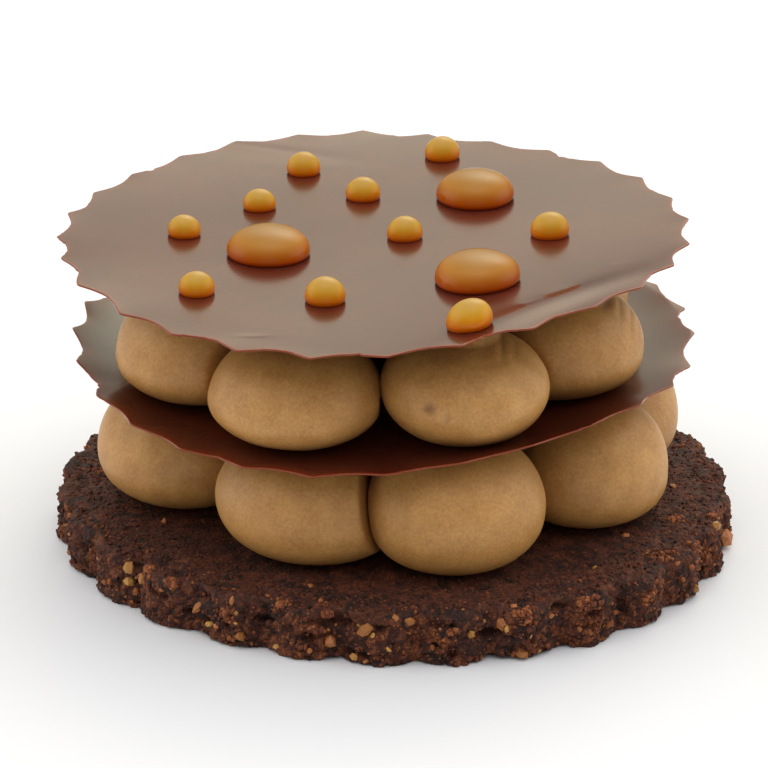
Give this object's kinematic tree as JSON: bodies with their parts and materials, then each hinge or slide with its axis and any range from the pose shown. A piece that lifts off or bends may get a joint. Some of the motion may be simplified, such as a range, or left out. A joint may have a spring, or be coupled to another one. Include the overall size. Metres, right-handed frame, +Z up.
{
  "type": "chocolate tartlet",
  "caption": "Layered chocolate tartlet: scalloped cocoa biscuit base, rings of piped ganache balls, thin toothed chocolate discs and caramel drops on top.",
  "frame": {"origin": "middle of the underside of the biscuit base, on the surface it rests on", "axes": "+Z up through the layers, -Y towards the front as pictured, +X to the right"},
  "size_m": [0.0793, 0.0803, 0.0395],
  "materials": {
    "biscuit": "dry, crumbly dark cocoa biscuit with nut grains; stands in for baked shortbread",
    "ganache": "smooth satin piped milk-chocolate ganache",
    "chocolate": "thin glossy tempered milk chocolate",
    "large_caramel": "glossy opaque light-brown caramel",
    "small_caramel": "glossy slightly translucent amber caramel"
  },
  "bodies": {
    "root": {"sable_base": "biscuit", "ball_lower_1": "ganache", "ball_lower_2": "ganache", "ball_lower_3": "ganache", "ball_lower_4": "ganache", "ball_lower_5": "ganache", "ball_lower_6": "ganache", "ball_lower_7": "ganache", "ball_lower_8": "ganache", "disc_middle": "chocolate", "ball_upper_1": "ganache", "ball_upper_2": "ganache", "ball_upper_3": "ganache", "ball_upper_4": "ganache", "ball_upper_5": "ganache", "ball_upper_6": "ganache", "ball_upper_7": "ganache", "ball_upper_8": "ganache", "disc_top": "chocolate", "drop_large_1": "large_caramel", "drop_large_2": "large_caramel", "drop_large_3": "large_caramel", "drop_small_1": "small_caramel", "drop_small_2": "small_caramel", "drop_small_3": "small_caramel", "drop_small_4": "small_caramel", "drop_small_5": "small_caramel", "drop_small_6": "small_caramel", "drop_small_7": "small_caramel", "drop_small_8": "small_caramel", "drop_small_9": "small_caramel", "drop_small_10": "small_caramel"}
  },
  "joints": []
}
